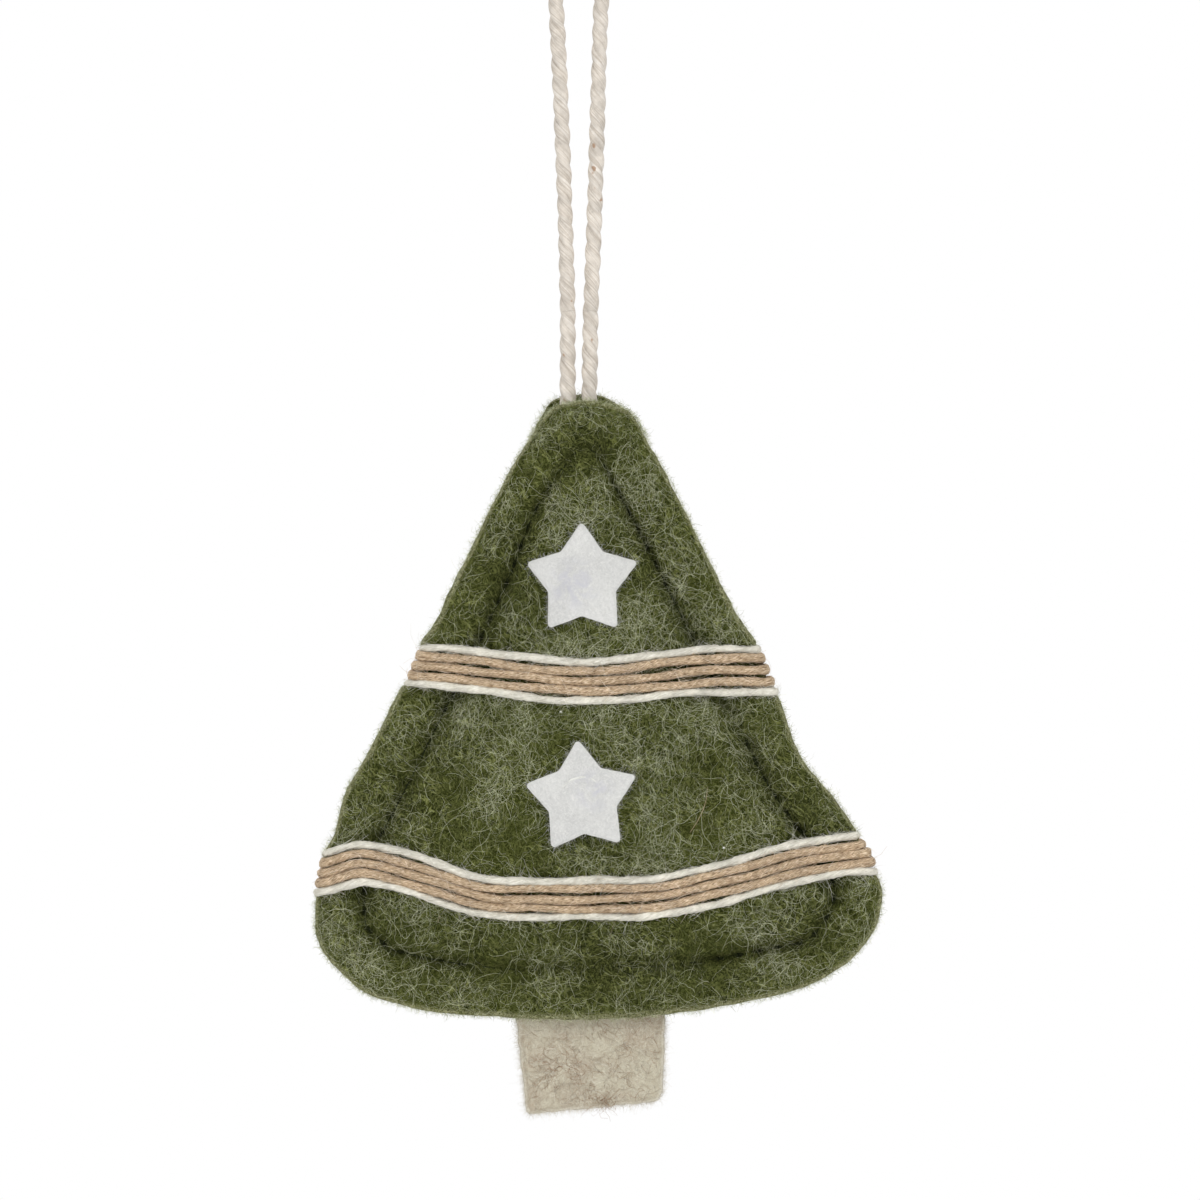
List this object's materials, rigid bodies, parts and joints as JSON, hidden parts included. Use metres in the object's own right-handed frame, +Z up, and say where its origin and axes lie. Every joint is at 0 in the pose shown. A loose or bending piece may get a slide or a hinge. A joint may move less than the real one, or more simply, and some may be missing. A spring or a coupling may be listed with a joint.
{
  "type": "christmas tree ornament",
  "caption": "Stuffed felt Christmas tree that hangs on a cord loop, with felt stars and wound twine and yarn bands",
  "frame": {"origin": "inside of the top of the hanging cord's loop, where it lies on a hook", "axes": "+Z up along the hanging cord, front of the tree towards -Y, +X to the right seen from the front"},
  "size_m": [0.093, 0.0222, 0.1902],
  "materials": {
    "green_felt": "matted wool felt, moss green with pale fibres",
    "oat_felt": "matted wool felt, oat",
    "white_felt": "matted wool felt, off-white",
    "fibrefill": "loose polyester fibre",
    "green_thread": "spun sewing thread",
    "jute": "twisted jute twine",
    "white_yarn": "soft spun white yarn",
    "cotton_cord": "three-strand twisted cotton",
    "hot_glue": "set hot-melt glue"
  },
  "bodies": {
    "hanging_loop": {"hanging_cord": "cotton_cord"},
    "cord_root": {"cord_root_left": "cotton_cord", "cord_root_right": "cotton_cord"},
    "tree": {"front_felt_panel": "green_felt", "back_felt_panel": "green_felt", "fibrefill_stuffing": "fibrefill", "trunk_felt": "oat_felt", "seam_thread_front": "green_thread", "seam_thread_back": "green_thread", "star_upper": "white_felt", "star_lower": "white_felt", "glue_dab_upper": "hot_glue", "glue_dab_lower": "hot_glue", "upper_band_jute_twine": "jute", "upper_band_top_yarn": "white_yarn", "upper_band_bottom_yarn": "white_yarn", "lower_band_jute_twine": "jute", "lower_band_top_yarn": "white_yarn", "lower_band_bottom_yarn": "white_yarn", "cord_tail_left": "cotton_cord", "cord_tail_right": "cotton_cord"}
  },
  "joints": [
    {"name": "tree_spin", "type": "hinge", "parent": "hanging_loop", "child": "cord_root", "pos_m": [0, 0, -0.06], "axis": [0, 0, 1], "range_deg": [-180, 180]},
    {"name": "tree_swing", "type": "hinge", "parent": "cord_root", "child": "tree", "pos_m": [0, 0, -0.069], "axis": [1, 0, 0], "range_deg": [-120, 120]}
  ]
}
